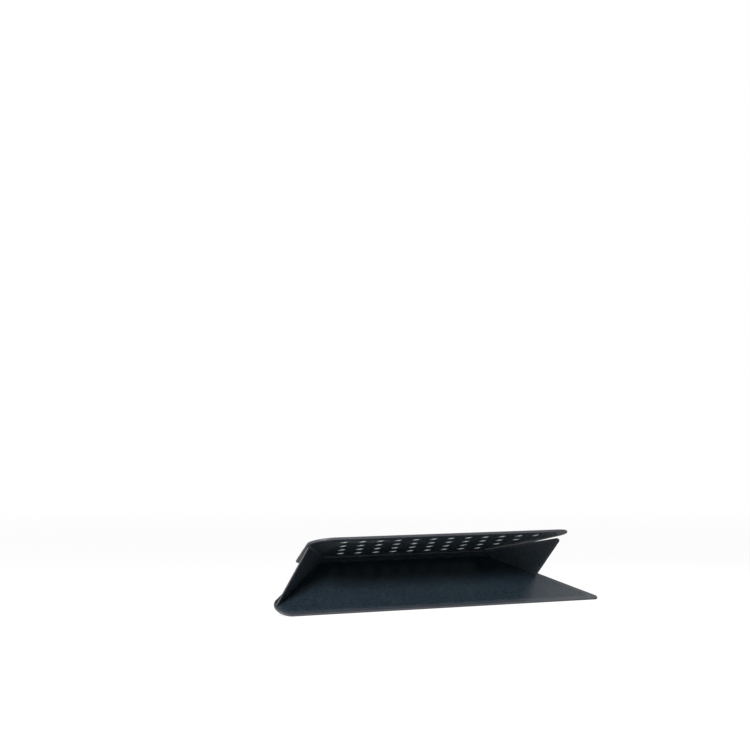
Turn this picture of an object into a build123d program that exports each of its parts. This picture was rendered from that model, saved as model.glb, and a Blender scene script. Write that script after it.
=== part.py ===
from build123d import *
from math import atan2, cos, degrees, hypot, radians, sin, sqrt, tan
import os

# Stick-on folding laptop stand: a tilted plate, a support panel hung from a fold under it, and
# two wings that stand on creases of the panel and prop the plate. All are leather over board.
# The left wing's foot runs on to the panel's blunt corner, the right wing's stops halfway.
# X runs along the fold, Y to the front, Z up. The stand is drawn open, foot on the table.

# Stance, degrees
plate_tilt = 14.0
panel_slope = 32.8
wing_lean = 86.4

# Plate
plate_rear = 60.0
plate_front = 22.0
plate_rear_half = 97.0
plate_fold_half = 74.0
plate_rear_radius = 12.0
plate_front_radius = 8.0
plate_skin = 0.3
plate_board_thick = 1.2
plate_hem = 3.0
plate_edge_bevel = 0.55

# Adhesive pad
pad_thick = 0.5
pad_inset = 5.0

# Vent holes, rows counted from the rear
vent_diameter = 5.4
vent_sides = 12
vent_rear_count = 12
vent_rows = 4
vent_pitch = 12.5
vent_row_pitch = 13.3
vent_rear_margin = 10.6
pad_vent_margin = 0.8

# Support panel
panel_length = 52.5
panel_fold_margin = 12.0
panel_foot_spread = 27.0
panel_right_radius = 2.0
panel_left_radius = 8.5
panel_fold_radius = 3.0
panel_skin = 0.3
panel_board_thick = 1.0
panel_hem_margin = 0.6
panel_edge_bevel = 0.5

# Wings
wing_skin = 0.25
wing_board_thick = 0.5
wing_hem = 2.8
wing_start = 2.5
right_crease_length = 33.6
right_wing_overhang = 4.8
left_wing_margin = 17.7
wing_corner_radius = 3.0
wing_root_radius = 0.6
wing_crease_inset = 3.2
wing_edge_bevel = 0.25
wing_plate_gap = 1.3

# Board outline pressed through the skins
press_height = 0.12
press_margin = 0.5
board_corner_radius = 1.2

# Folds
fold_clearance = 0.3
fold_bead_radius = 0.5
fold_end_margin = 1.5
fold_flange_length = 18.0
fold_flange_thick = 0.5
fold_flange_taper = 4.0
fold_flange_radius = 4.0
crease_skin = 0.45
crease_lip = 0.4
crease_foot = 0.35

# Bar magnets
magnet_wall = 0.8
magnet_length = 12.0
magnet_width = 3.5
magnet_setback = 2.4

# Sizes that follow
panel_fold_half = plate_fold_half - panel_fold_margin
panel_foot_half = plate_rear_half + panel_foot_spread
plate_thick = 2 * plate_skin + plate_board_thick
panel_thick = 2 * panel_skin + panel_board_thick
panel_hem = wing_crease_inset + panel_hem_margin
wing_thick = 2 * wing_skin + wing_board_thick
crease_height = wing_thick / 2 + fold_clearance
fold_drop = crease_height
tilt = radians(plate_tilt)
slope = radians(panel_slope)
opening = tilt + slope
side_angle = atan2(panel_length, panel_foot_half - panel_fold_half)
side_length = hypot(panel_length, panel_foot_half - panel_fold_half)
left_crease_length = side_length - wing_start - left_wing_margin
plate_flare = (plate_rear_half - plate_fold_half) / plate_rear
plate_front_half = plate_fold_half - plate_flare * plate_front

# The plate lies on its lower face, the panel hangs from the fold axis at the origin
plate_plane = Plane(
    (0, fold_drop * sin(tilt), fold_drop * cos(tilt)), x_dir=(1, 0, 0), z_dir=(0, sin(tilt), cos(tilt))
)
panel_plane = Plane((0, 0, 0), x_dir=(1, 0, 0), z_dir=(0, -sin(slope), cos(slope)))

# The right wing turns about a crease that follows the panel's side edge
along = Vector(cos(side_angle), -sin(side_angle), 0)
inward = Vector(-sin(side_angle), -cos(side_angle), 0)
upward = Vector(0, 0, 1)
wing_root = Vector(panel_fold_half, 0, 0) + inward * wing_crease_inset + along * wing_start


def wing_plane(lean):
    rise = inward * cos(radians(lean)) + upward * sin(radians(lean))
    return Plane(wing_root, x_dir=along, z_dir=along.cross(rise))


open_wing = wing_plane(wing_lean)
folded_wing = wing_plane(0)


def plate_gap(u, h):
    spot = open_wing.from_local_coords(Vector(u, h, 0))
    return fold_drop - spot.Y * sin(opening) - spot.Z * cos(opening)


# The wing's top edge is the line in its plane where the gap to the plate is even
root_gap = plate_gap(0, 0)
gap_per_length = plate_gap(1, 0) - root_gap
gap_per_height = plate_gap(0, 1) - root_gap
top_slope = -gap_per_length / gap_per_height
top_start = (wing_plate_gap - root_gap) / gap_per_height


def slab(outline, start, end):
    return Pos(0, 0, min(start, end)) * extrude(outline, abs(end - start))


def mirrored(shape):
    return mirror(shape, about=Plane.YZ)


def trapezoid(front_half, rear_half, front, rear):
    points = [(-front_half, front), (front_half, front), (rear_half, rear), (-rear_half, rear)]
    return make_face(Polyline(*points, close=True))


def layer(sharp, amount, front_radius, left_radius, right_radius):
    shape = offset(sharp, -amount) if amount else sharp
    front, left, right = [
        max(radius - amount, board_corner_radius) for radius in (front_radius, left_radius, right_radius)
    ]
    shape = fillet(shape.vertices().sort_by(Axis.Y)[-2:], front)
    shape = fillet(shape.vertices().sort_by(Axis.Y)[:2].sort_by(Axis.X)[:1], left)
    return fillet(shape.vertices().sort_by(Axis.X)[-1:], right)


def half_skin(outline, raised, pocket, seam, face, bevel):
    step = press_height if face > seam else -press_height
    shell = slab(outline, seam, face - step)
    rim = shell.edges().group_by(Axis.Z)[-1 if face > seam else 0]
    return chamfer(rim, bevel) + slab(raised, face - step, face) - pocket


def sandwich(outline, raised, board_outline, low, skin, thick, bevel):
    high = low + 2 * skin + thick
    seam = (low + high) / 2
    board = slab(board_outline, low + skin, high - skin)
    low_skin = half_skin(outline, raised, board, seam, low, bevel)
    high_skin = half_skin(outline, raised, board, seam, high, bevel)
    return low_skin, board, high_skin


def bar(spot, toward):
    turn = degrees(atan2(toward.Y - spot.Y, toward.X - spot.X))
    return Pos(spot.X, spot.Y) * Rot(0, 0, turn) * Rectangle(magnet_length, magnet_width)


def vent_holes(diameter, low, high):
    spots = [
        Pos((i - (vent_rear_count - row - 1) / 2) * vent_pitch,
            vent_rear_margin - plate_rear + row * vent_row_pitch)
        for row in range(vent_rows)
        for i in range(vent_rear_count - row)
    ]
    hole = RegularPolygon(diameter / 2, vent_sides)
    return slab(Sketch() + [spot * hole for spot in spots], low, high)


# Both wings are triangles on the crease with the same tip, cut short beside the fold
wing_foot = -wing_thick / 2
wing_tip = right_crease_length + right_wing_overhang
wing_height = top_start + top_slope * wing_tip

# The bar magnet lies along the top edge, inside the hem and short of the right wing's rear edge
top_angle = atan2(top_slope, 1)
tip_angle = atan2(wing_height - wing_foot, right_wing_overhang) - top_angle
bar_depth = wing_hem + magnet_wall + magnet_width / 2
bar_corner = (bar_depth + magnet_width / 2) / tan(tip_angle) + (wing_hem + magnet_setback) / sin(tip_angle)
bar_reach = wing_tip / cos(top_angle) - bar_corner - magnet_length / 2
bar_middle = Vector(
    bar_reach * cos(top_angle) + bar_depth * sin(top_angle),
    top_start + bar_reach * sin(top_angle) - bar_depth * cos(top_angle),
)
bar_ahead = bar_middle + Vector(cos(top_angle), sin(top_angle))


def on_plate(spot):
    return plate_plane.to_local_coords(panel_plane.from_local_coords(open_wing.from_local_coords(spot)))


# Its catch in the plate lies inside the hem of the plate's side edge, over the wing
edge_middle = Vector(bar_reach * cos(top_angle), top_start + bar_reach * sin(top_angle))
catch_reach = on_plate(edge_middle).Y
catch_depth = plate_hem + magnet_wall + magnet_width / 2
catch_middle = Vector(
    plate_fold_half - plate_flare * catch_reach - catch_depth * sqrt(1 + plate_flare**2), catch_reach
)
catch_ahead = catch_middle + Vector(plate_flare, -1)


def make_plate():
    sharp = trapezoid(plate_front_half, plate_rear_half, plate_front, -plate_rear)
    outline, raised, board_outline, pad_outline = [
        layer(sharp, amount, plate_front_radius, plate_rear_radius, plate_rear_radius)
        for amount in (0, plate_hem - press_margin, plate_hem, pad_inset)
    ]
    under, board, top = sandwich(
        outline, raised, board_outline, 0, plate_skin, plate_board_thick, plate_edge_bevel
    )
    catch = slab(bar(catch_middle, catch_ahead), plate_skin, plate_skin + plate_board_thick)
    holes = vent_holes(vent_diameter, 0, plate_thick)
    pad = slab(pad_outline, plate_thick, plate_thick + pad_thick)
    pad_holes = vent_holes(vent_diameter + 2 * pad_vent_margin, plate_thick, plate_thick + pad_thick)
    return {
        "adhesive_pad": pad - pad_holes,
        "plate_top_skin": top - holes,
        "plate_board": board - catch - mirrored(catch) - holes,
        "plate_under_skin": under - holes,
        "right_catch_magnet": catch,
        "left_catch_magnet": mirrored(catch),
        "fold_hinge_skin": make_fold(),
    }


def make_fold():
    fold_half = panel_fold_half - fold_end_margin
    flange = trapezoid(fold_half - fold_flange_taper, fold_half, fold_flange_length, -fold_bead_radius)
    flange = fillet(flange.vertices().sort_by(Axis.Y)[-2:], fold_flange_radius)
    bead = Pos(0, 0, -fold_drop) * Rot(0, 90, 0) * Cylinder(fold_bead_radius, 2 * fold_half)
    return slab(flange, -fold_flange_thick, 0) + bead


def make_panel():
    sharp = trapezoid(panel_fold_half, panel_foot_half, 0, -panel_length)
    outline, raised, board_outline = [
        layer(sharp, amount, panel_fold_radius, panel_left_radius, panel_right_radius)
        for amount in (0, panel_hem - press_margin, panel_hem)
    ]
    under, board, upper = sandwich(
        outline, raised, board_outline, -fold_drop - panel_thick, panel_skin, panel_board_thick,
        panel_edge_bevel,
    )
    place = bar(folded_wing.from_local_coords(bar_middle), folded_wing.from_local_coords(bar_ahead))
    board_low = -fold_drop - panel_thick + panel_skin
    keeper = slab(place, board_low, board_low + panel_board_thick)
    return {
        "panel_upper_skin": upper,
        "panel_board": board - keeper - mirrored(keeper),
        "panel_under_skin": under,
        "right_keeper_magnet": keeper,
        "left_keeper_magnet": mirrored(keeper),
        "right_wing_crease_skin": make_crease(right_crease_length),
        "left_wing_crease_skin": mirrored(make_crease(left_crease_length)),
    }


def make_crease(length):
    bore = wing_thick / 2 + fold_clearance
    base = -crease_height - press_height
    edge = -bore - crease_skin
    start = (-crease_foot, -sqrt(bore**2 - crease_foot**2))
    middle = (-bore * sin(radians(60)), -bore * cos(radians(60)))
    lip = [(-bore, 0), (-bore, crease_lip), (edge, crease_lip)]
    seat_edges = [(edge, base), (-crease_foot, base), start]
    profile = make_face(ThreePointArc(start, middle, (-bore, 0)) + Polyline(*lip, *seat_edges))
    section = Plane(wing_root, x_dir=inward, z_dir=inward.cross(upward))
    return section.location * extrude(profile, -length)


def make_wing(crease_length):
    root = ((wing_foot - top_start) / top_slope, wing_foot)
    sharp = make_face(Polyline(root, (crease_length, wing_foot), (wing_tip, wing_height), close=True))
    outline = sharp - Pos(-wing_tip / 2, 0) * Rectangle(wing_tip, wing_tip)
    outline = fillet(outline.vertices().sort_by(Axis.Y)[-1:], wing_corner_radius)
    outline = fillet(outline.vertices().sort_by(Axis.X)[:2], wing_root_radius)
    raised = offset(sharp, press_margin - wing_hem)
    raised = fillet(raised.vertices(), board_corner_radius)
    outer, board, inner = sandwich(
        outline, raised, offset(sharp, -wing_hem), wing_foot, wing_skin, wing_board_thick, wing_edge_bevel
    )
    magnet = slab(bar(bar_middle, bar_ahead), -wing_board_thick / 2, wing_board_thick / 2)
    pieces = {
        "inner_skin": inner,
        "board": board - magnet,
        "outer_skin": outer,
        "magnet": magnet,
    }
    return {name: open_wing.location * piece for name, piece in pieces.items()}


plate_nodes = {name: plate_plane.location * piece for name, piece in make_plate().items()}
panel_nodes = make_panel()
for name, piece in make_wing(right_crease_length).items():
    panel_nodes["right_wing_" + name] = piece
for name, piece in make_wing(left_crease_length).items():
    panel_nodes["left_wing_" + name] = mirrored(piece)
panel_nodes = {name: panel_plane.location * piece for name, piece in panel_nodes.items()}
nodes = {**plate_nodes, **panel_nodes}

# The origin is on the table, under the middle of the stand
box = Compound(list(nodes.values())).bounding_box()
seat = Pos(-box.center().X, -box.center().Y, -box.min.Z)
os.makedirs("parts", exist_ok=True)
for name, piece in nodes.items():
    export_step(seat * piece, f"parts/{name}.step")

crease_start = panel_plane.from_local_coords(wing_root)
crease_run = panel_plane.from_local_coords(wing_root + along) - crease_start
print("fold axis through", (seat * Vertex(0, 0, 0)).center())
print("right crease through", (seat * Vertex(*crease_start)).center(), "along", crease_run)
print("opening", degrees(opening), "pad face centre",
      (seat * Vertex(*plate_plane.from_local_coords(Vector(0, 0, plate_thick + pad_thick)))).center())
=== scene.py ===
import bpy, bmesh
from math import atan2, cos, pi, radians, sin, tan
from mathutils import Matrix, Vector
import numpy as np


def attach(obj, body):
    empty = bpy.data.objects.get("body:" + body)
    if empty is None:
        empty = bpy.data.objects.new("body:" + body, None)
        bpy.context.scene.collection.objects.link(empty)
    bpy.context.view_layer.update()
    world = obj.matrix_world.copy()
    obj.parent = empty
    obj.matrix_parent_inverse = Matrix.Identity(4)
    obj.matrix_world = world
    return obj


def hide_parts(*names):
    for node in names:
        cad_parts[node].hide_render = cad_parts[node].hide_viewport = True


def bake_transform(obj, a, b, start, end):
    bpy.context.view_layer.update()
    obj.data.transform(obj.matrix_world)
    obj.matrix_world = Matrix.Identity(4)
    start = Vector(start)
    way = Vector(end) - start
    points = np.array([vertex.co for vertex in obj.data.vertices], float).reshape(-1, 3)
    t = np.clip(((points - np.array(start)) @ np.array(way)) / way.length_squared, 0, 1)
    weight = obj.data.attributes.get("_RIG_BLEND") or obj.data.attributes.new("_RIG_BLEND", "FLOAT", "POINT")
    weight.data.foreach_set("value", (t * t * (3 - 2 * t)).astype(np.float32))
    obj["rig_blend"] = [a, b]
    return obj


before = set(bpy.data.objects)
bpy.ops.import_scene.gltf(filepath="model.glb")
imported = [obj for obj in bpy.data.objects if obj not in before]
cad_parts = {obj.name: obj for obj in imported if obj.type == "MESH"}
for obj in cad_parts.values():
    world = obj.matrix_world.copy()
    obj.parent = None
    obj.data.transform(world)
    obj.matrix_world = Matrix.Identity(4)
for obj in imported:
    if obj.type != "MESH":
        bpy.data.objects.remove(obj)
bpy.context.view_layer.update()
print("frame loaded:", len(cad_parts), "nodes")

mm = 0.001  # pieces are drawn in millimetres and placed in metres

# how the stand is set up: angles in degrees, the fold's place and the wing's crease in mm
stance = {"tilt": 14.0, "slope": 32.8, "lean": 86.4, "fold": (-5.61736, 18.0244, 30.0853),
          "drop": 0.8, "foldHalf": 62.0, "footHalf": 124.0, "panelLength": 52.5,
          "creaseInset": 3.2, "creaseStart": 2.5}
tilt, slope, lean = [radians(stance[name]) for name in ("tilt", "slope", "lean")]
opening = tilt + slope


def axesAt(origin, xDir, zDir):  # a local frame from its x and z directions
    x, z = Vector(xDir), Vector(zDir)
    turn = Matrix((x, z.cross(x), z)).transposed().to_4x4()
    return Matrix.Translation(Vector(origin)) @ turn


toMetres = Matrix.Scale(mm, 4)
flipZ = Matrix.Scale(-1, 4, (0, 0, 1))
foldAt = Vector(stance["fold"])
middle = Matrix.Translation((foldAt.x, 0, 0))
flipX = middle @ Matrix.Scale(-1, 4, (1, 0, 0)) @ middle.inverted()  # about the middle of the fold
sides = {"right": Matrix(), "left": flipX}
plateUp = Vector((0, sin(tilt), cos(tilt)))
platePlace = axesAt(foldAt + plateUp * stance["drop"], (1, 0, 0), plateUp)
panelPlace = axesAt(foldAt, (1, 0, 0), (0, -sin(slope), cos(slope)))
foldPlace = axesAt(foldAt, (0, 1, 0), (0, 0, 1))  # x to the front, y to the left, z up

sideAngle = atan2(stance["panelLength"], stance["footHalf"] - stance["foldHalf"])
along = Vector((cos(sideAngle), -sin(sideAngle), 0))
inward = Vector((-sin(sideAngle), -cos(sideAngle), 0))
foldEnd = Vector((stance["foldHalf"], 0, 0))
wingRoot = foldEnd + inward * stance["creaseInset"] + along * stance["creaseStart"]
rise = inward * cos(lean) + Vector((0, 0, 1)) * sin(lean)
wingPlace = panelPlace @ axesAt(wingRoot, along, along.cross(rise))
creasePlace = panelPlace @ axesAt(wingRoot, inward, (0, 0, 1))  # x inward, y along, z off the panel


class Wire:  # a socket that takes part in Python arithmetic
    def __init__(self, tree, socket):
        self.tree, self.socket = tree, socket

    def math(self, operation, first, second):
        return addNode(self.tree, "ShaderNodeMath", {"operation": operation}, {0: first, 1: second})

    def __add__(self, other): return self.math("ADD", self, other)
    def __radd__(self, other): return self.math("ADD", other, self)
    def __sub__(self, other): return self.math("SUBTRACT", self, other)
    def __mul__(self, other): return self.math("MULTIPLY", self, other)


def addNode(tree, kind, settings, sockets, out=0):  # settings first, then values or links
    node = tree.nodes.new(kind)
    for key, value in settings.items():
        setattr(node, key, value)
    for key, value in sockets.items():
        if isinstance(value, Wire):
            tree.links.new(value.socket, node.inputs[key])
        else:
            node.inputs[key].default_value = value
    return Wire(tree, node.outputs[out])


def newMaterial(name, view):
    material = bpy.data.materials.new(name)
    material.use_nodes = True
    material.diffuse_color = (*view, 1)
    tree = material.node_tree
    tree.nodes.clear()
    return material, tree


def closeMaterial(tree, shader):
    output = tree.nodes.new("ShaderNodeOutputMaterial")
    tree.links.new(shader.socket, output.inputs["Surface"])


def objectSpot(tree):
    return addNode(tree, "ShaderNodeTexCoord", {}, {}, "Object")


def noise(tree, spot, scale, detail):
    sockets = {"Vector": spot, "Scale": scale, "Detail": detail}
    return addNode(tree, "ShaderNodeTexNoise", {}, sockets)


def cells(tree, spot, scale, feature="F1"):
    sockets = {"Vector": spot, "Scale": scale}
    return addNode(tree, "ShaderNodeTexVoronoi", {"feature": feature}, sockets)


def mixColours(tree, factor, low, high):  # 6, 7 and 2 are the node's colour sockets
    sockets = {"Factor": factor, 6: low, 7: high}
    return addNode(tree, "ShaderNodeMix", {"data_type": "RGBA"}, sockets, 2)


def bumpFrom(tree, height, strength, distance):
    sockets = {"Height": height, "Strength": strength, "Distance": distance}
    return addNode(tree, "ShaderNodeBump", {}, sockets)


def grey(value):
    return (value, value, value, 1)


# leather: noise scales per metre, bump as strength and metres, rough as base and share of the noise
leatherLook = {"deep": (0.0050, 0.0118, 0.0190, 1), "pale": (0.025, 0.041, 0.055, 1),
               # rim: lighter grey for edges, partly edge wear and partly painted highlight
               "rim": (0.120, 0.122, 0.138, 1), "view": (0.015, 0.026, 0.037),
               "cloud": (60.0, 4.0), "speck": (1000.0, 3.0), "grain": 2600.0, "crease": 420.0,
               "cloudShare": 0.5, "speckShare": 3.5, "shift": 1.5, "wearAndHighlightLeast": 0.45, "wearAndHighlightCloud": 0.5,
               "grainHeight": 0.5, "speckHeight": 0.35, "creaseSlope": 3.0, "creaseTop": 0.3,
               "bump": (0.42, 0.00012), "rough": (0.38, 0.12), "specular": 0.5,
               "sheen": 0.01, "sheenRough": 0.5}


def makeLeather():
    look = leatherLook
    material, tree = newMaterial("fineGrainLeather", look["view"])
    spot = objectSpot(tree)
    cloud, speck = noise(tree, spot, *look["cloud"]), noise(tree, spot, *look["speck"])
    pebble = cells(tree, spot, look["grain"])
    wrinkle = cells(tree, spot, look["crease"], "DISTANCE_TO_EDGE")
    rim = addNode(tree, "ShaderNodeAttribute", {"attribute_name": "rim"}, {}, "Fac")
    tone = cloud * look["cloudShare"] + speck * look["speckShare"] - look["shift"]
    body = mixColours(tree, tone, look["deep"], look["pale"])
    # rim mask: the rim colour mixed in stands for edge wear and for painted highlight on rolled edges, hems
    # and the fold's ridge
    rimWearAndHighlight = rim * (look["wearAndHighlightLeast"] + cloud * look["wearAndHighlightCloud"])
    furrow = wrinkle.math("MINIMUM", wrinkle * look["creaseSlope"], look["creaseTop"])
    height = pebble * look["grainHeight"] + speck * look["speckHeight"] + furrow
    base, share = look["rough"]
    closeMaterial(tree, addNode(tree, "ShaderNodeBsdfPrincipled", {}, {
        "Base Color": mixColours(tree, rimWearAndHighlight, body, look["rim"]), "Roughness": base + speck * share,
        "Normal": bumpFrom(tree, height, *look["bump"]), "Specular IOR Level": look["specular"],
        "Sheen Weight": look["sheen"], "Sheen Roughness": look["sheenRough"]}))
    return material


# board greys: the weave is its own; the overall grey is kept darker than pale glass fibre, partly as painted
# shade in the vent walls
boardLook = {"light": (0.32, 0.34, 0.34, 1), "dark": (0.22, 0.24, 0.24, 1), "view": (0.27, 0.29, 0.29),
             "thread": 140.0, "waver": 1.2, "fleck": (1400.0, 3.0), "threadShare": 0.6,
             "fleckShare": 0.4, "bump": (0.3, 0.00005), "rough": (0.45, 0.2)}


def makeBoard():
    look = boardLook
    material, tree = newMaterial("glassFibreBoard", look["view"])
    spot = objectSpot(tree)
    warp, weft = [addNode(tree, "ShaderNodeTexWave", {"wave_type": "BANDS", "bands_direction": way},
                          {"Vector": spot, "Scale": look["thread"], "Distortion": look["waver"]})
                  for way in ("X", "Y")]
    fleck = noise(tree, spot, *look["fleck"])
    weave = warp * weft * look["threadShare"] + fleck * look["fleckShare"]
    base, share = look["rough"]
    closeMaterial(tree, addNode(tree, "ShaderNodeBsdfPrincipled", {}, {
        "Base Color": mixColours(tree, weave, look["dark"], look["light"]),
        "Roughness": base + fleck * share, "Normal": bumpFrom(tree, weave, *look["bump"])}))
    return material


nickelLook = {"dull": (0.50, 0.50, 0.52, 1), "bright": (0.63, 0.62, 0.62, 1), "view": (0.55, 0.55, 0.57),
              "cloud": (700.0, 5.0), "scratch": (5200.0, 1.0), "bump": (0.15, 0.00002),
              "rough": (0.2, 0.2)}


def makeNickel():
    look = nickelLook
    material, tree = newMaterial("platedNickel", look["view"])
    spot = objectSpot(tree)
    cloud, scratch = noise(tree, spot, *look["cloud"]), noise(tree, spot, *look["scratch"])
    base, share = look["rough"]
    closeMaterial(tree, addNode(tree, "ShaderNodeBsdfPrincipled", {}, {
        "Base Color": mixColours(tree, cloud, look["dull"], look["bright"]),
        "Roughness": base + cloud * share, "Metallic": 1.0,
        "Normal": bumpFrom(tree, scratch, *look["bump"])}))
    return material


adhesiveLook = {"deep": (0.016, 0.016, 0.018, 1), "hazy": (0.045, 0.046, 0.049, 1),
                "view": (0.03, 0.03, 0.032), "haze": (60.0, 6.0), "pore": 1500.0,
                "bump": (0.2, 0.00004), "rough": (0.5, 0.2), "specular": 0.4}


def makeAdhesive():
    look = adhesiveLook
    material, tree = newMaterial("tackyAdhesive", look["view"])
    spot = objectSpot(tree)
    haze, pore = noise(tree, spot, *look["haze"]), cells(tree, spot, look["pore"])
    base, share = look["rough"]
    closeMaterial(tree, addNode(tree, "ShaderNodeBsdfPrincipled", {}, {
        "Base Color": mixColours(tree, haze, look["deep"], look["hazy"]),
        "Roughness": base + haze * share, "Normal": bumpFrom(tree, pore, *look["bump"]),
        "Specular IOR Level": look["specular"]}))
    return material


finishes = {"leather": makeLeather(), "board": makeBoard(), "magnet": makeNickel(),
            "adhesive": makeAdhesive()}
print("materials made:", ", ".join(finishes))

evenEdges = (1, 1, 1, 1)
wideFrom = 0.85  # mm of inset; the rim outside it is equally wide on all edges
loopSpread = 50.0  # the loops are bridged well apart, then brought to their own heights


def cornerWays(corners, i):  # unit vectors from a corner to the ones before and after it
    at, before, after = [Vector(corners[k % len(corners)]) for k in (i, i - 1, i + 1)]
    return (before - at).normalized(), (after - at).normalized()


def insetCorners(corners, amount, wide):  # corners slide along their edges; a wide edge moves further
    moved = []
    for i, at in enumerate(corners):
        back, ahead = cornerWays(corners, i)
        turn = sin(back.angle(ahead))
        slide = back * amount * wide[i] + ahead * amount * wide[i - 1]
        moved.append(Vector(at) + slide / turn)
    return moved


def drawLoop(bm, corners, rounds, height, steps):  # a closed outline with rounded corners, as one face
    old = set(bm.faces)
    ring = [bm.verts.new((*point, height)) for point in corners]
    bm.faces.new(ring)
    for i, vert in enumerate(ring):
        back, ahead = cornerWays(corners, i)
        half = back.angle(ahead) / 2
        arc = (1 - 0.5 / (1 + sin(half))) ** 2  # profile that passes through the true arc's middle
        bmesh.ops.bevel(bm, geom=[vert], offset=rounds[i] / tan(half), offset_type="OFFSET",
                        affect="VERTICES", segments=steps, profile=arc, material=-1,
                        clamp_overlap=False)
    return [f for f in bm.faces if f not in old][0]


# outlines bridged into a closed shell; a level is its inset, height and rim value, which stands for edge
# wear and painted highlight
def stackLoops(corners, rounds, start, chains, steps, smallest=1.2, wide=evenEdges):
    bm = bmesh.new()
    rimLayer = bm.verts.layers.float.new("rim")
    heights = {}

    def addLevel(step, level, cap):
        amount, heights[step], rim = level
        rounded = [max(r - amount, min(smallest, r)) for r in rounds]
        inset = insetCorners(corners, amount, wide if amount > wideFrom else evenEdges)
        face = drawLoop(bm, inset, rounded, step * loopSpread, steps)
        edges = list(face.edges)
        for vert in face.verts:
            vert[rimLayer] = rim
        if not cap:
            bmesh.ops.delete(bm, geom=[face], context="FACES_ONLY")
        return edges

    first = addLevel(0, start, False)
    for way, chain in zip((-1, 1), chains):
        before = first
        for count, level in enumerate(chain, 1):
            edges = addLevel(way * count, level, count == len(chain))
            bmesh.ops.bridge_loops(bm, edges=before + edges)
            before = edges
    bmesh.ops.recalc_face_normals(bm, faces=bm.faces)
    for vert in bm.verts:
        vert.co.z = heights[round(vert.co.z / loopSpread)]
    return bm


# hem of a skin: mm from the roll or the board's line, and how much edge wear and painted highlight its rim
# gets there
hem = {"rollSteps": 5, "seamWearAndHighlight": 0.6, "rollWearAndHighlight": 0.8, "dip": 0.03, "dipFrom": 0.3, "dipTo": 0.45,
       "lineAt": 0.2, "riseAt": 0.15, "riseShare": 0.75, "crestAt": 0.45, "crestWearAndHighlight": 0.1,
       "flatAt": 0.9}


def skinLoops(spec):  # the seam, the pocket for the board, then wall, rolled rim and pressed hem
    top, roll, press = spec["half"] - spec["press"], spec["roll"], spec["press"]
    pocket = [(spec["hem"], 0, 0), (spec["hem"], spec["half"] - spec["skin"], 0)]
    turns = [i / hem["rollSteps"] * pi / 2 for i in range(hem["rollSteps"])]
    line = spec["hem"] - spec["margin"]  # where the board's edge shows through
    # third value of each level: the rim mask, edge wear and painted highlight on the rolled edge and the hem
    # band
    shell = [(roll * (1 - cos(turn)), top - roll + roll * sin(turn), 1) for turn in turns]
    shell += [(roll, top, hem["rollWearAndHighlight"]),
              (roll + hem["dipFrom"], top - hem["dip"], spec["band"]),
              (line - hem["dipTo"], top - hem["dip"], spec["band"]),
              (line - hem["lineAt"], top, 0),
              (line + hem["riseAt"], top + press * hem["riseShare"], hem["crestWearAndHighlight"]),
              (line + hem["crestAt"], top + press, hem["crestWearAndHighlight"]),
              (line + hem["flatAt"], top + press, 0)]
    return (0, 0, hem["seamWearAndHighlight"]), [pocket, shell]


sharpFrom = radians(32)
flatFrom = 0.9999  # cosine to the piece's own z


def finishPiece(bm, name, place, slot, body=None, nodes=()):  # place it in the frame and ride a body
    bm.transform(toMetres @ place)
    bmesh.ops.recalc_face_normals(bm, faces=bm.faces)
    mesh = bpy.data.meshes.new(name)
    bm.to_mesh(mesh)
    bm.free()
    mesh.shade_smooth()
    mesh.set_sharp_from_angle(angle=sharpFrom)
    level = (place.to_3x3() @ Vector((0, 0, 1))).normalized()
    for face in mesh.polygons:
        face.use_smooth = abs(face.normal.dot(level)) < flatFrom  # flat faces keep their own normal
    piece = bpy.data.objects.new(name, mesh)
    bpy.context.scene.collection.objects.link(piece)
    mesh.materials.append(finishes[slot])
    if body:
        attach(piece, body)
    if nodes:
        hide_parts(*nodes)
    return piece


# plate: the vented board in its two skins, with the adhesive on top
plate = {"corners": [(-65.571, 21.99), (65.571, 21.99), (96.996, -59.99), (-96.996, -59.99)],
         "rounds": [8, 8, 12, 12], "steps": 12, "half": 0.9, "skin": 0.3, "press": 0.12,
         "roll": 0.6, "hem": 3.0, "margin": 0.5, "band": 0.2}
pad = {"inset": 5.0, "low": 1.8, "high": 2.3, "roll": 0.2, "rollShare": 0.3}
vents = {"radius": 2.7, "padRadius": 3.5, "sides": 28, "pitch": 12.5, "rowPitch": 13.3,
         "rearRow": -49.4, "rearCount": 12, "rows": 4,
         "flare": 0.28, "boardFlare": 0.01, "padFlare": 0.12,
         "skinDepth": 1.0, "boardDepth": 2.0, "boardOver": 0.3, "padUnder": 0.4,
         "lip": [(1.6, 1), (1, 0), (0.35, -0.35), (0.08, -0.8), (0, -1.3)]}  # out and up, in flares


def ventSpots():
    for row in range(vents["rows"]):
        count = vents["rearCount"] - row
        for i in range(count):
            yield (i - (count - 1) / 2) * vents["pitch"], vents["rearRow"] + row * vents["rowPitch"]


def ventCutter(radius, face, flare, depth):  # one mesh with a plug for every vent
    cutter = bmesh.new()
    rings = [(radius + flare * out, face + flare * up) for out, up in vents["lip"]]
    rings.append((radius, -depth))
    ends = (0, len(rings) - 1)
    for x, y in ventSpots():
        before = None
        for k, (size, height) in enumerate(rings):
            ring = bmesh.ops.create_circle(cutter, cap_ends=k in ends, segments=vents["sides"],
                                           radius=size, matrix=Matrix.Translation((x, y, height)))
            edges = list({e for v in ring["verts"] for e in v.link_edges
                          if not e.link_faces or k in ends})
            if before:
                bmesh.ops.bridge_loops(cutter, edges=before + edges)
            before = edges
    bmesh.ops.recalc_face_normals(cutter, faces=cutter.faces)
    return cutter


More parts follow.
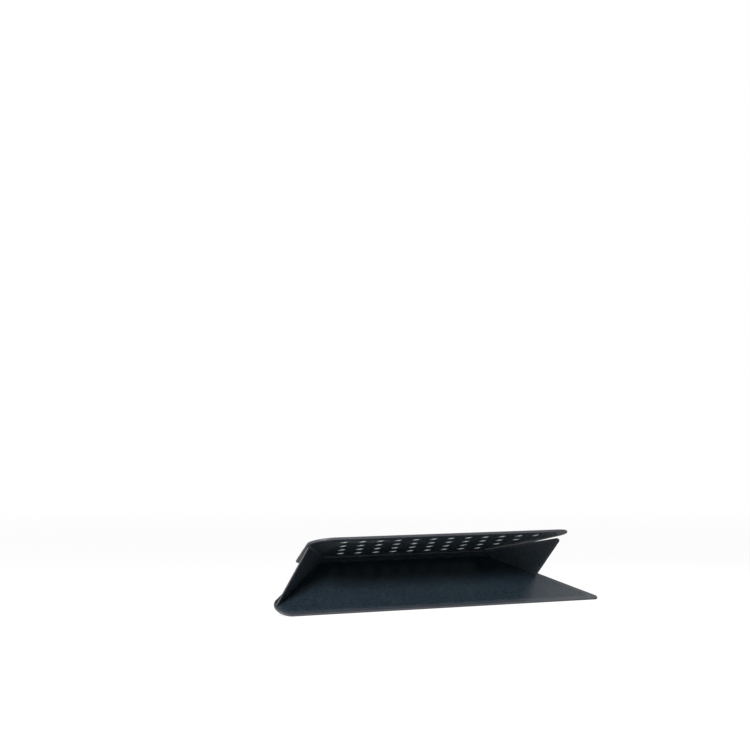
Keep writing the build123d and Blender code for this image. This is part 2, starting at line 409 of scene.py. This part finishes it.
def punchVents(bm, radius, face, flare, depth):  # flared round holes
    solids = []
    for mesh in (bm, ventCutter(radius, face, flare, depth)):
        data = bpy.data.meshes.new("punching")
        mesh.to_mesh(data)
        mesh.free()
        solids.append(bpy.data.objects.new("punching", data))
        bpy.context.scene.collection.objects.link(solids[-1])
    cut = solids[0].modifiers.new("punch", "BOOLEAN")
    cut.operation, cut.solver, cut.object = "DIFFERENCE", "EXACT", solids[1]
    result = solids[0].evaluated_get(bpy.context.evaluated_depsgraph_get())
    done = bpy.data.meshes.new_from_object(result)
    punched = bmesh.new()
    punched.from_mesh(done)
    for solid in solids:
        data = solid.data
        bpy.data.objects.remove(solid)
        bpy.data.meshes.remove(data)
    bpy.data.meshes.remove(done)
    return punched


def makePlate():
    corners, rounds, steps = plate["corners"], plate["rounds"], plate["steps"]
    seam = Matrix.Translation((0, 0, plate["half"]))
    for name, turn, node in (("plateUnderLeather", flipZ, "plate_under_skin"),
                             ("plateTopLeather", Matrix(), "plate_top_skin")):
        bm = stackLoops(corners, rounds, *skinLoops(plate), steps)
        bm = punchVents(bm, vents["radius"], plate["half"], vents["flare"], vents["skinDepth"])
        finishPiece(bm, name, platePlace @ seam @ turn, "leather", "plate", [node])
    edge, thick = plate["hem"], plate["half"] - plate["skin"]
    bm = stackLoops(corners, rounds, (edge, 0, 0), [[(edge, -thick, 0)], [(edge, thick, 0)]], steps)
    bm = punchVents(bm, vents["radius"], thick + vents["boardOver"], vents["boardFlare"],
                    vents["boardDepth"])
    finishPiece(bm, "plateBoardSheet", platePlace @ seam, "board", "plate", ["plate_board"])
    inset, roll, part = pad["inset"], pad["roll"], pad["roll"] * pad["rollShare"]
    wall = (inset, pad["high"] - roll, 0)
    top = [(inset + part, pad["high"] - part, 0), (inset + roll, pad["high"], 0)]
    bm = stackLoops(corners, rounds, wall, [[(inset, pad["low"], 0)], top], steps)
    bm = punchVents(bm, vents["padRadius"], pad["high"], vents["padFlare"],
                    vents["padUnder"] - pad["low"])
    finishPiece(bm, "adhesiveSheet", platePlace, "adhesive", "plate", ["adhesive_pad"])


makePlate()
print("plate made, with", len(list(ventSpots())), "vents")

# panel: the sloping support with its two skins; its left corner is blunt
panel = {"corners": [(-62, 0), (62, 0), (123.858, -52.38), (-123.858, -52.38)],
         "rounds": [3, 3, 2, 8.5], "steps": 20, "half": 0.8, "skin": 0.3, "press": 0.12,
         "roll": 0.55, "hem": 3.8, "margin": 0.5, "band": 0.38, "seam": -1.6}


def makePanel():
    seam = Matrix.Translation((0, 0, panel["seam"]))
    for name, turn, node in (("panelUpperLeather", Matrix(), "panel_upper_skin"),
                             ("panelUnderLeather", flipZ, "panel_under_skin")):
        bm = stackLoops(panel["corners"], panel["rounds"], *skinLoops(panel), panel["steps"])
        finishPiece(bm, name, panelPlace @ seam @ turn, "leather", "panel", [node])


makePanel()
print("panel made")

# wings: thin skins that stand on the panel's creases, their top edge close under the plate
wing = {"foot": -0.5, "footEnd": {"right": 33.6, "left": 61.04}, "rootAt": -3.0, "tipAt": 40.2,
        "rootGap": 0.3, "tipGap": 1.1, "rounds": [0.3, 0.4, 1.6, 0.3], "smallest": 0.2, "steps": 8,
        "half": 0.5, "skin": 0.25, "press": 0.12, "roll": 0.3, "hem": 1.85, "margin": 0.5,
        "band": 0.5, "wide": (0.75, 1.6, 0.75, 0.75), "rootWithoutWearOrHighlight": 1.5}


def plateGap(u, h):  # from the plate down to a spot in the wing's plane, when open
    spot = wingRoot + along * u + rise * h
    return stance["drop"] - spot.y * sin(opening) - spot.z * cos(opening)


gapRate = plateGap(0, 1) - plateGap(0, 0)


def topAt(u):  # the gap widens to the tip, which comes closest to the plate as it folds
    share = (u - wing["rootAt"]) / (wing["tipAt"] - wing["rootAt"])
    gap = wing["rootGap"] + (wing["tipGap"] - wing["rootGap"]) * share
    return (gap - plateGap(u, 0)) / gapRate


def makeWings():
    root, tip, foot = wing["rootAt"], wing["tipAt"], wing["foot"]
    for side, mirror in sides.items():
        corners = [(root, foot), (wing["footEnd"][side], foot), (tip, topAt(tip)), (root, topAt(root))]
        for face, turn in (("Inner", Matrix()), ("Outer", flipZ)):
            bm = stackLoops(corners, wing["rounds"], *skinLoops(wing), wing["steps"],
                            wing["smallest"], wing["wide"])
            rimLayer = bm.verts.layers.float["rim"]
            for vert in bm.verts:
                if vert.co.x < root + wing["rootWithoutWearOrHighlight"]:
                    vert[rimLayer] = 0  # the root is tucked into the fold, so it gets no edge wear or painted highlight
            finishPiece(bm, side + "Wing" + face + "Leather", mirror @ wingPlace @ turn, "leather",
                        side + "_wing", [side + "_wing_" + face.lower() + "_skin"])


makeWings()
print("wings made")

bendSteps = 6
sameSpot = 1e-4  # mm


def shift(bm, geom, length):  # moves the new vertices of an extrusion along y
    verts = [g for g in geom if isinstance(g, bmesh.types.BMVert)]
    bmesh.ops.translate(bm, verts=verts, vec=(0, length, 0))


def ribbon(profile, bends, length, thick):  # a strip of leather bent over a profile in x and z
    bm = bmesh.new()
    bm.verts.layers.float.new("rim")
    points = [bm.verts.new((a, 0, b)) for a, b in profile]
    edges = [bm.edges.new(pair) for pair in zip(points, points[1:])]
    shift(bm, bmesh.ops.extrude_edge_only(bm, edges=edges)["geom"], length)
    for (a, b), size in zip(profile[1:-1], bends):
        bend = [e for e in bm.edges if all(abs(v.co.x - a) < sameSpot and abs(v.co.z - b) < sameSpot
                                           for v in e.verts)]
        bmesh.ops.bevel(bm, geom=bend, offset=size, offset_type="OFFSET", affect="EDGES",
                        segments=bendSteps, profile=0.5, material=-1, clamp_overlap=False)
    bmesh.ops.recalc_face_normals(bm, faces=bm.faces)
    bmesh.ops.solidify(bm, geom=bm.faces[:], thickness=thick)
    return bm


def offPlate(y, z):  # from the plate's own y and z to front and up from the fold
    up = z + stance["drop"]
    return y * cos(tilt) + up * sin(tilt), -y * sin(tilt) + up * cos(tilt)


def offPanel(y, z):  # the same from the panel's
    return y * cos(slope) - z * sin(slope), y * sin(slope) + z * cos(slope)


def bendPiece(piece, first, second, start, end):  # the bend runs from start to end, beside the fold
    spots = [toMetres @ foldPlace @ Vector((a, 0, b)) for a, b in (start, end)]
    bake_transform(piece, first, second, start=spots[0], end=spots[1])


# wedge: the soft leather in the fold, with a painted highlight along its ridge
wedge = {"half": 61.0, "foot": offPanel(-3.4, -0.79), "ridge": offPlate(-0.7, -0.04),
         "back": [offPlate(0.9, -0.04), offPanel(0.6, -0.79)], "highlightFrom": 0.74, "highlightFull": 0.82,
         "bend": (offPlate(0, 0), offPanel(0, -0.8))}


def makeWedge():
    bm = bmesh.new()
    rimLayer = bm.verts.layers.float.new("rim")
    foot, ridge = Vector(wedge["foot"]), Vector(wedge["ridge"])
    pale = [foot.lerp(ridge, wedge[name]) for name in ("highlightFrom", "highlightFull")]
    points = [bm.verts.new((a, 0, b)) for a, b in [foot, *pale, ridge, *wedge["back"]]]
    # painted highlight along the ridge
    points[2][rimLayer] = points[3][rimLayer] = 1.0
    swept = bmesh.ops.extrude_face_region(bm, geom=[bm.faces.new(points)])["geom"]
    shift(bm, swept, -2 * wedge["half"])
    place = foldPlace @ Matrix.Translation((0, wedge["half"], 0))
    piece = finishPiece(bm, "foldCreaseLeather", place, "leather")
    bendPiece(piece, "plate", "panel", *wedge["bend"])


# hinge: the strip that the panel hangs from, from under the plate to under the panel
hinge = {"half": 59.5, "thick": 0.28, "bends": [0.8, 0.5, 0.4], "bend": ((2.2, 0.2), (1.48, -1.45)),
         "onPlate": [(18.0, -0.03), (2.4, -0.03)],
         "onPanel": [(1.1, -0.7), (0.75, -2.45), (-5.0, -2.43)]}


def makeHinge():
    profile = [offPlate(*at) for at in hinge["onPlate"]] + [offPanel(*at) for at in hinge["onPanel"]]
    bm = ribbon(profile, hinge["bends"], -2 * hinge["half"], hinge["thick"])
    place = foldPlace @ Matrix.Translation((0, hinge["half"], 0))
    piece = finishPiece(bm, "foldHingeLeather", place, "leather")
    bendPiece(piece, "plate", "panel", *hinge["bend"])
    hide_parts("fold_hinge_skin")


# creases: the strips between the panel and the wings
crease = {"profile": [(-2.5, -0.9), (-1.15, -0.9), (-0.62, 0.35), (-0.53, 2.3)], "bends": [0.45, 0.4],
          "thick": 0.26, "length": {"right": 33.0, "left": 57.5}, "bendAt": -0.8, "bend": (-0.8, 0.6)}


def makeCreases():
    for side, mirror in sides.items():
        bm = ribbon(crease["profile"], crease["bends"], crease["length"][side], crease["thick"])
        piece = finishPiece(bm, side + "CreaseLeather", mirror @ creasePlace, "leather")
        spots = [toMetres @ mirror @ creasePlace @ Vector((crease["bendAt"], 0, z))
                 for z in crease["bend"]]
        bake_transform(piece, "panel", side + "_wing", start=spots[0], end=spots[1])
        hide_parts(side + "_wing_crease_skin")


makeWedge()
makeHinge()
makeCreases()
print("folds made")

for name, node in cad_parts.items():  # the hidden boards and magnets only get better finishes
    kind = "magnet" if "magnet" in name else "board" if "board" in name else None
    if kind:
        for slot in node.material_slots:
            slot.material = finishes[kind]

# stage: white floor that keeps its shadow, soft light and the camera of the photograph
stage = {"floor": 6.0, "floorView": (0.9, 0.9, 0.9), "floorSeen": 0.27, "floorBounce": 0.75,
         "glow": 0.88, "fadeFrom": 0.3, "fadeTo": 1.2, "ambient": 0.03, "gloss": 0.16}
lamps = {"key": {"at": (-1.08, -1.10, 0.95), "size": 0.45, "power": 35.0, "aim": (0, 0, 0.02)},
         "rightTip": {"at": (0.272, 0.015, 0.187), "size": 0.13, "power": 0.095,
                      "aim": (0.112, -0.037, 0.002)}}
lens = {"at": (-673.31, -1116.64, 125.01), "yaw": 29.705, "pitch": 0.824, "focalPixels": 2078.8,
        "imageWidth": 750, "sensor": 36.0, "near": 0.05, "far": 30.0}


def makeFloor():
    bm = bmesh.new()
    bmesh.ops.create_grid(bm, x_segments=1, y_segments=1, size=stage["floor"])
    mesh = bpy.data.meshes.new("floor")
    bm.to_mesh(mesh)
    bm.free()
    floor = bpy.data.objects.new("floor", mesh)
    bpy.context.scene.collection.objects.link(floor)
    material, tree = newMaterial("paleFloor", stage["floorView"])
    seen = addNode(tree, "ShaderNodeLightPath", {}, {}, "Is Camera Ray")
    bounce, paint = [addNode(tree, "ShaderNodeBsdfDiffuse", {}, {"Color": grey(stage[name])})
                     for name in ("floorBounce", "floorSeen")]
    glow, white = [addNode(tree, "ShaderNodeEmission", {}, {"Color": grey(1.0), "Strength": strength})
                   for strength in (stage["glow"], 1.0)]
    near = addNode(tree, "ShaderNodeAddShader", {}, {0: paint, 1: glow})
    away = addNode(tree, "ShaderNodeVectorMath", {"operation": "LENGTH"}, {0: objectSpot(tree)}, "Value")
    fade = addNode(tree, "ShaderNodeMapRange", {}, {"Value": away, "From Min": stage["fadeFrom"],
                                                    "From Max": stage["fadeTo"]})
    shown = addNode(tree, "ShaderNodeMixShader", {}, {0: fade, 1: near, 2: white})  # white far off
    closeMaterial(tree, addNode(tree, "ShaderNodeMixShader", {}, {0: seen, 1: bounce, 2: shown}))
    mesh.materials.append(material)


def makeSky():  # white to the camera, dim in the gloss and dimmer as light
    world = bpy.data.worlds.new("studio")
    world.use_nodes = True
    tree = world.node_tree
    tree.nodes.clear()
    path = tree.nodes.new("ShaderNodeLightPath")
    cameraRay, glossRay = [Wire(tree, path.outputs[ray]) for ray in ("Is Camera Ray", "Is Glossy Ray")]
    ambient, gloss = stage["ambient"], stage["gloss"]
    level = ambient + cameraRay * (1 - ambient) + glossRay * (gloss - ambient)
    sky = addNode(tree, "ShaderNodeBackground", {}, {"Color": grey(1.0), "Strength": level})
    output = tree.nodes.new("ShaderNodeOutputWorld")
    tree.links.new(sky.socket, output.inputs["Surface"])
    bpy.context.scene.world = world


def makeLamps():
    for name, lamp in lamps.items():
        data = bpy.data.lights.new(name, "AREA")
        data.size, data.energy = lamp["size"], lamp["power"]
        obj = bpy.data.objects.new(name, data)
        obj.location = lamp["at"]
        aim = Vector(lamp["aim"]) - obj.location
        obj.rotation_euler = aim.to_track_quat("-Z", "Y").to_euler()
        obj.visible_camera = False
        bpy.context.scene.collection.objects.link(obj)


def makeCamera():
    data = bpy.data.cameras.new("camera")
    data.sensor_width = lens["sensor"]
    data.lens = lens["sensor"] * lens["focalPixels"] / lens["imageWidth"]
    data.clip_start, data.clip_end = lens["near"], lens["far"]
    camera = bpy.data.objects.new("camera", data)
    camera.location = Vector(lens["at"]) * mm
    camera.rotation_euler = (radians(90 + lens["pitch"]), 0, radians(-lens["yaw"]))
    bpy.context.scene.collection.objects.link(camera)
    bpy.context.scene.camera = camera
    bpy.context.scene.view_settings.view_transform = "Standard"


makeFloor()
makeSky()
makeLamps()
makeCamera()
print("stage made")
